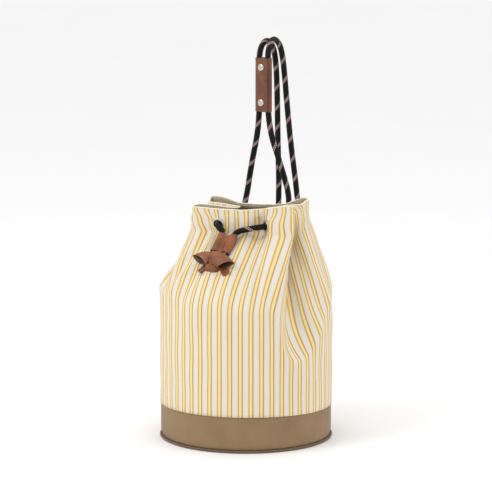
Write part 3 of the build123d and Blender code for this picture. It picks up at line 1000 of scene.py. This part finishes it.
def facing_out(points):
    """The same closed grid, turned so that its faces look away from its middle line."""
    across = np.roll(points, -1, 1) - np.roll(points, 1, 1)
    normal = np.cross(across, np.gradient(points, axis=0))
    away = points - points.mean(axis=1)[:, None]
    return points if (normal * away).sum() > 0 else points[:, ::-1]


def leather(name, points, thickness, body, around=False, grain=None):
    """A leather piece from a grid in millimetres, with its inside and its cut edges."""
    points = np.asarray(points) * MM
    wide = np.concatenate([points, points[:, :1]], 1) if around else points
    uv = np.stack([lengths_along(wide, 1), lengths_along(wide, 0)], -1)
    obj = grid_piece(name, points, uv, around=around)
    thicken(obj, thickness * MM, edge=min(0.4, thickness * 0.3) * MM)
    give(obj, grain or tan_leather, body)
    obj.data.materials.append(suede)
    obj.data.materials.append(cut_edge)
    wall = obj.modifiers["thickness"]
    wall.material_offset = 1
    wall.material_offset_rim = 2
    print(name, len(obj.data.polygons), "faces")
    return obj


# %% Cord lock
LOCK_HALF_LENGTH = 15.7
LOCK_ROPE_X = 8.4
LOCK_ROLL_RADIUS = 6.1
LOCK_WAIST = 2.0
LOCK_NOTCH = 3.0

left = [(-LOCK_ROPE_X + LOCK_ROLL_RADIUS * math.cos(a), LOCK_ROLL_RADIUS * math.sin(a))
        for a in np.radians(np.linspace(38, 322, 26))]
right = [(-x, -z) for x, z in left]
outline = smooth_line(left + [(0, -LOCK_WAIST)] + right + [(0, LOCK_WAIST)], 132, closed=True)
rows = []
for t in np.linspace(-1, 1, 46):
    rounding = 0.28 * max(0.0, abs(t) - 0.93) / 0.07
    notch = LOCK_NOTCH * np.exp(-((outline[:, 0] / 2.8) ** 2)) * max(0.0, t) ** 3
    sway = 0.25 * math.sin(3 * t + 0.5)
    squeeze = 1 - rounding * 0.1
    rows.append(np.stack([
        outline[:, 0] * squeeze + sway * 0.4, LOCK_HALF_LENGTH * t - notch, outline[:, 1] * squeeze
    ], 1))
lock = leather("cord_lock_leather", facing_out(on_toggle(rows)), 1.45, "cord_lock", around=True)
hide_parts("cord_lock")

# %% [markdown]
# ## Leather bow
# Below the lock a strap is tied round both ropes, and its loops stand out as a bow: two horns that
# open downwards, a short loop between them, and two tails. A horn is a loft through rings,
# narrow where the knot holds it and wide and flat at its mouth. The rings are lens-shaped,
# because folded leather makes a sharp edge above and below.

# %% Horns
HORN_SIDES = 44


def horn(name, rings, body, thickness=1.25, sharp=0.45):
    """A loft through rings, each a middle, half its long side and half its short side."""
    rings = smooth_line(rings, 30)
    a = np.linspace(0, 2 * math.pi, HORN_SIDES, endpoint=False)
    flat = np.sin(a) * np.abs(np.sin(a)) ** sharp
    grid = (rings[:, None, 0] + np.cos(a)[None, :, None] * rings[:, None, 1]
            + flat[None, :, None] * rings[:, None, 2])
    return leather(name, facing_out(on_toggle(grid)), thickness, body, around=True)


bow = [
    horn("bow_horn_right", [
        [(-6, -24.5, 9.0), (2.2, 3.2, 0.5), (0.4, 0.2, 3.0)],
        [(0, -28, 11.2), (5.0, 6.0, 1.0), (0.8, 0.4, 4.0)],
        [(8, -33, 12.4), (8.2, 7.4, 0.6), (1.2, 0.8, 5.0)],
        [(16.2, -38, 12.0), (10.0, 6.6, 0.2), (1.6, 1.4, 5.4)],
        [(22.7, -42, 11.0), (10.8, 5.4, 0.0), (2.0, 2.2, 5.0)],
    ], "toggle"),
    horn("bow_horn_left", [
        [(-1, -24, 7.0), (2.4, -3.0, 0.4), (0.3, 0.2, 2.6)],
        [(-6, -27, 8.5), (4.8, -5.6, 0.6), (0.6, 0.4, 3.4)],
        [(-11.5, -31.5, 10), (8.0, -7.0, 0.4), (1.0, 0.8, 4.2)],
        [(-16, -36, 10.5), (10.2, -6.6, 0.2), (1.4, 1.4, 4.6)],
        [(-19.5, -39, 10), (11.6, -5.8, 0.0), (1.6, 2.0, 4.4)],
    ], "toggle"),
]
print("bow horns", len(bow))

# %% Straps of the bow


def strap(name, line, across, thickness, body, columns=12, crown=0.5):
    """A strap whose middle line and half-width directions are given."""
    line, across = smooth_line(line, 40), smooth_line(across, 40)
    ahead = np.gradient(line, axis=0)
    up = np.cross(across, ahead)
    up /= np.linalg.norm(up, axis=1)[:, None]
    share = np.linspace(-1, 1, columns)
    grid = (line[:, None] + share[None, :, None] * across[:, None]
            + crown * (1 - share[None, :, None] ** 2) * up[:, None])
    return leather(name, on_toggle(grid)[:, ::-1], thickness, body)


bow += [
    strap("bow_middle_loop", [
        (-11.5, -34, 0), (-11, -41, 3.5), (-7, -46.5, 6), (1, -48.5, 7), (8, -46.5, 6),
        (12, -40.5, 3), (11.5, -34, 0),
    ], [
        (1.5, 1, 4.5), (1.5, 2.2, 4.4), (0.6, 3.4, 4.0), (0, 3.8, 3.8), (-0.6, 3.4, 4.0),
        (-1.5, 2.2, 4.4), (-1.5, 1, 4.5),
    ], 1.3, "toggle"),
    strap("bow_inner_loop", [
        (-9, -30, 5), (-8, -37, 9), (-1, -42, 11.5), (6, -40, 9.5), (9, -33, 5),
    ], [
        (0.8, 1, 4.0), (0.8, 2.4, 3.6), (0, 3.2, 3.2), (-0.8, 2.4, 3.6), (-0.8, 1, 4.0),
    ], 1.2, "toggle"),
    strap("bow_tail_left", [
        (-6, -28, 0), (-9.5, -37, 1.0), (-12.5, -46, 2.2), (-15, -54, 4.0),
    ], [
        (3.4, -1.4, 0), (3.6, -1.8, 0.3), (3.8, -2.2, 0.8), (3.8, -2.4, 1.2),
    ], 1.5, "toggle"),
    strap("bow_tail_right", [
        (6, -29, 0.5), (13, -38, 1.6), (19.5, -46, 3.4), (26, -53, 6.4),
    ], [
        (4.2, 2.0, 0.4), (4.6, 2.6, 1.4), (4.6, 2.8, 2.4), (3.8, 2.6, 3.0),
    ], 1.5, "toggle"),
]

# %% Tie round the ropes
TIE_MIDDLE = (-23.7, 0.75)
TIE_HALF_WIDTH, TIE_HALF_DEPTH, TIE_HALF_LENGTH = 12.6, 5.9, 5.0

rows = []
a = np.linspace(0, 2 * math.pi, 72, endpoint=False)
for t in np.linspace(-1, 1, 26):
    end = 1 - 0.16 * max(0.0, abs(t) - 0.75) / 0.25
    crease = 0.22 * np.sin(4 * math.pi * t + 2 * np.cos(a)) + 0.5 * math.cos(t * math.pi / 2)
    square = (np.abs(np.cos(a)) ** 4 + np.abs(np.sin(a)) ** 4) ** -0.25
    rows.append(np.stack([
        (TIE_HALF_WIDTH + crease) * square * end * np.cos(a),
        np.full_like(a, TIE_MIDDLE[0] + TIE_HALF_LENGTH * t),
        TIE_MIDDLE[1] + (TIE_HALF_DEPTH + crease) * square * end * np.sin(a),
    ], 1))
tie = leather("bow_tie_band", facing_out(on_toggle(rows)), 1.5, "toggle", around=True)
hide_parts("bow_tie")
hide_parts("leather_bow")

# %% [markdown]
# ## Strap wrap
# A strip of leather goes once and a quarter round the two ropes and is riveted through. Its free
# end lies on the front with rounded corners, and the strip's start is tucked under it. The grid's
# columns walk along that path, and its rows shorten near the free end to round the corners.

# %% Wrap
WRAP_MIDDLE = np.array((1.0, 66.0, 482.5))
WRAP_TURN = math.radians(-19.0)
WRAP_ROPE_X = 7.6
WRAP_OUT = 5.7
WRAP_HALF_HEIGHT = 37.5
WRAP_END_X = 11.4
CORNER = 3.6

path = []
for a in np.linspace(58, -90, 22):
    reach = WRAP_OUT - 1.35 * smoothstep(-5, 50, a)
    path.append((WRAP_ROPE_X + reach * math.cos(math.radians(a)), reach * math.sin(math.radians(a))))
path += [(x, -WRAP_OUT) for x in np.linspace(WRAP_ROPE_X - 1.5, -WRAP_ROPE_X + 1.5, 10)]
for a in np.linspace(-90, -270, 24):
    turn = math.radians(a)
    path.append((-WRAP_ROPE_X + WRAP_OUT * math.cos(turn), WRAP_OUT * math.sin(turn)))
for x in np.linspace(-WRAP_ROPE_X + 1.2, WRAP_END_X, 26):
    path.append((x, WRAP_OUT + 0.35 * smoothstep(7, WRAP_END_X, x) + 0.1 * math.sin(x / 2.4)))
path = np.array(path)
to_end = lengths_along(path, 0)[-1] - lengths_along(path, 0)
short = np.clip(CORNER - to_end, 0, CORNER)
half = WRAP_HALF_HEIGHT - (CORNER - np.sqrt(CORNER**2 - short**2))
across = np.array((math.cos(WRAP_TURN), math.sin(WRAP_TURN), 0))
out = np.array((math.sin(WRAP_TURN), -math.cos(WRAP_TURN), 0))
rows = []
for t in np.linspace(-1, 1, 60):
    rows.append(WRAP_MIDDLE + path[:, :1] * across + path[:, 1:] * out
                + half[:, None] * np.array((0, 0, t)))
wrap = leather("strap_wrap_leather", rows, 1.15, "root", grain=dark_leather)
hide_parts("strap_wrap")

# %% [markdown]
# ## Metal, knots and stitches
# The eyelets, washers and rivets have the right shape already, so they only take the nickel. The
# knots that stop the ropes inside the base are short lengths of the same braid. Stitches repeat, so
# Geometry Nodes place them: the tree walks along a line and sets one small grain of thread at each
# step, turned along the line.

# %% Metal parts
METAL = ("eyelet", "washer", "rivet")
metal_meshes = [node.data for name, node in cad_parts.items() if name.split("_")[0] in METAL]
for mesh in metal_meshes:
    mesh.materials.clear()
    mesh.materials.append(nickel)
    mesh.polygons.foreach_set("use_smooth", [False] * len(mesh.polygons))
print("metal parts", len(metal_meshes))

# %% Stopper knots
KNOT_SCALE = 1.75 * MM
t = np.linspace(0, 2 * math.pi, 90)
loop = np.stack([np.sin(t) + 2 * np.sin(2 * t), -np.sin(3 * t) * 1.1, np.cos(t) - 2 * np.cos(2 * t)], 1)
for side in ("left", "right"):
    low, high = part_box("stopper_knot_" + side)
    middle = np.array((low + high) / 2)
    line, along = evenly(middle + loop * KNOT_SCALE, RING_STEP)
    knot = braided_tube("knot_" + side, line, along)
    give(knot, braid)
    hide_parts("stopper_knot_" + side)

# %% Stitch tree


def stitch_tree():
    """Grains of thread at an even step along a line."""
    tree = bpy.data.node_groups.new("stitches", "GeometryNodeTree")
    tree.interface.new_socket("Line", in_out="INPUT", socket_type="NodeSocketGeometry")
    for name in ("Stitch step", "Stitch length", "Thread width"):
        tree.interface.new_socket(name, in_out="INPUT", socket_type="NodeSocketFloat")
    tree.interface.new_socket("Thread", in_out="INPUT", socket_type="NodeSocketMaterial")
    tree.interface.new_socket("Stitches", in_out="OUTPUT", socket_type="NodeSocketGeometry")
    start = tree.nodes.new("NodeGroupInput").outputs
    end = tree.nodes.new("NodeGroupOutput")

    def node(kind, settings=(), inputs=(), output=0):
        made = tree.nodes.new(kind)
        for key, value in dict(settings).items():
            setattr(made, key, value)
        for key, value in dict(inputs).items():
            if isinstance(value, bpy.types.NodeSocket):
                tree.links.new(value, made.inputs[key])
            else:
                made.inputs[key].default_value = value
        return made.outputs[output]

    line = node("GeometryNodeMeshToCurve", {}, {"Mesh": start["Line"]})
    steps = node("GeometryNodeResampleCurve", {"mode": "LENGTH"}, {
        "Curve": line, "Length": start["Stitch step"]})
    grain = node("GeometryNodeMeshUVSphere", {}, {"Segments": 8, "Rings": 6, "Radius": 0.5})
    size = node("ShaderNodeCombineXYZ", {}, {
        "X": start["Thread width"], "Y": start["Thread width"], "Z": start["Stitch length"]})
    tangent = node("GeometryNodeInputTangent")
    turn = node("FunctionNodeAlignRotationToVector", {"axis": "Z"}, {"Vector": tangent})
    placed = node("GeometryNodeInstanceOnPoints", {}, {
        "Points": steps, "Instance": grain, "Rotation": turn, "Scale": size})
    real = node("GeometryNodeRealizeInstances", {}, {"Geometry": placed})
    thread = node("GeometryNodeSetMaterial", {}, {"Geometry": real, "Material": start["Thread"]})
    tree.links.new(thread, end.inputs["Stitches"])
    return tree


STITCHES = stitch_tree()


def stitch_row(name, points, step, length, width, material):
    """One closed row of stitches along points in millimetres, as a plain mesh."""
    mesh = bpy.data.meshes.new(name)
    points = np.concatenate([points, points[:1]]) * MM
    mesh.from_pydata(points.tolist(), [(i, i + 1) for i in range(len(points) - 1)], [])
    obj = bpy.data.objects.new(name, mesh)
    bpy.context.scene.collection.objects.link(obj)
    modifier = obj.modifiers.new("stitches", "NODES")
    modifier.node_group = STITCHES
    values = {"Stitch step": step, "Stitch length": length, "Thread width": width, "Thread": material}
    for item in STITCHES.interface.items_tree:
        if item.in_out == "INPUT" and item.name in values:
            value = values[item.name]
            modifier[item.identifier] = value * MM if isinstance(value, float) else value
    graph = bpy.context.evaluated_depsgraph_get()
    made = bpy.data.meshes.new_from_object(obj.evaluated_get(graph))
    obj.modifiers.clear()
    obj.data = made
    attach(obj, "root")
    print(name, len(made.polygons), "faces")


def thread_material(name, light, dark):
    material, start, surface = new_material(name, Sheen_Weight=0.1)
    where = start.node("ShaderNodeTexCoord", {}, {}, output=3)
    twist = start.noise(where, 2200.0, 2.0)
    finish_material(start, surface, start.mix(twist, dark, light), 0.6, twist, 0.3, 0.0003)
    return material


# %% Rows of stitches
khaki_thread = thread_material("khaki_thread", linear(174, 150, 114), linear(140, 116, 84))
cream_thread = thread_material("cream_thread", linear(240, 232, 208), linear(216, 206, 178))
STITCH_RISE = 0.12
HEM_ROW = -7
ring = band_points[-3].copy()
ring[:, :2] *= 1 + STITCH_RISE / BAND_RADIUS
hem = surface[HEM_ROW] + outwards(surface)[HEM_ROW] * STITCH_RISE
stitch_row("band_stitches", ring, 3.2, 2.3, 0.55, khaki_thread)
stitch_row("mouth_stitches", hem, 3.0, 2.2, 0.5, cream_thread)
